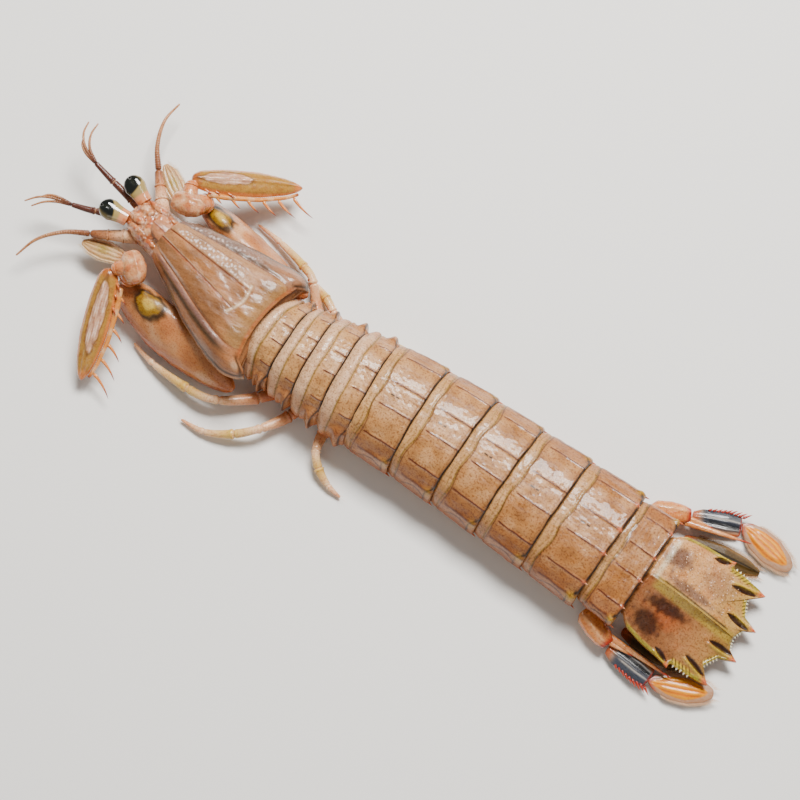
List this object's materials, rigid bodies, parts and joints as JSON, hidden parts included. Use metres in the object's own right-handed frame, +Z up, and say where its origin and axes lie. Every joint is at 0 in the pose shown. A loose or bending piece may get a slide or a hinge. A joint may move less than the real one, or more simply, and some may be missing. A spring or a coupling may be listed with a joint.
{
  "type": "raw mantis shrimp",
  "caption": "Whole raw mantis shrimp lying on its belly, folded claws beside the head, jointed plates along the back and a spined tail fan.",
  "frame": {"origin": "bottom centre of the bounding box, on the surface the animal lies on", "axes": "-X towards the head, +X towards the tail, +Y towards the animal's right, +Z up"},
  "size_m": [0.1974, 0.0701, 0.0197],
  "materials": {
    "shell": "wet translucent tan shell, speckled, dark rear edges",
    "carapace": "wet translucent grey-brown shell",
    "flesh": "wet pinkish tan skin",
    "telson": "wet brown shell with dark blotches",
    "eye": "glossy dark green-black",
    "feeler": "brown-mauve, satin",
    "leg": "wet pale pinkish",
    "arm": "wet peach tan, orange lower edge",
    "hand": "wet pinkish white to olive yellow, orange edges",
    "fan_grey": "wet blue-grey and olive-grey",
    "fan_orange": "wet orange-yellow"
  },
  "bodies": {
    "root": {"abdomen_1": "shell", "abdomen_2": "shell", "abdomen_3": "shell", "abdomen_4": "shell", "abdomen_5": "shell", "abdomen_6": "shell", "antenna_left": "feeler", "antenna_right": "feeler", "antennal_scale_left": "leg", "antennal_scale_right": "leg", "antennule_left": "feeler", "antennule_right": "feeler", "carapace": "carapace", "claw_left_carpus": "flesh", "claw_left_dactyl": "hand", "claw_left_merus": "arm", "claw_left_propodus": "hand", "claw_right_carpus": "flesh", "claw_right_dactyl": "hand", "claw_right_merus": "arm", "claw_right_propodus": "hand", "eye_left": "eye", "eye_right": "eye", "head": "flesh", "leg_left_1": "leg", "leg_left_2": "leg", "leg_left_3": "leg", "leg_right_1": "leg", "leg_right_2": "leg", "leg_right_3": "leg", "maxilliped_left_1": "leg", "maxilliped_left_2": "leg", "maxilliped_right_1": "leg", "maxilliped_right_2": "leg", "pleopod_left_1": "leg", "pleopod_left_2": "leg", "pleopod_left_3": "leg", "pleopod_left_4": "leg", "pleopod_left_5": "leg", "pleopod_right_1": "leg", "pleopod_right_2": "leg", "pleopod_right_3": "leg", "pleopod_right_4": "leg", "pleopod_right_5": "leg", "rostral_plate": "carapace", "telson": "telson", "thorax_5": "shell", "thorax_6": "shell", "thorax_7": "shell", "thorax_8": "shell", "uropod_left_endopod": "fan_grey", "uropod_left_exopod_base": "fan_grey", "uropod_left_exopod_blade": "fan_orange", "uropod_left_protopod": "flesh", "uropod_right_endopod": "fan_grey", "uropod_right_exopod_base": "fan_grey", "uropod_right_exopod_blade": "fan_orange", "uropod_right_protopod": "flesh"}
  },
  "joints": []
}
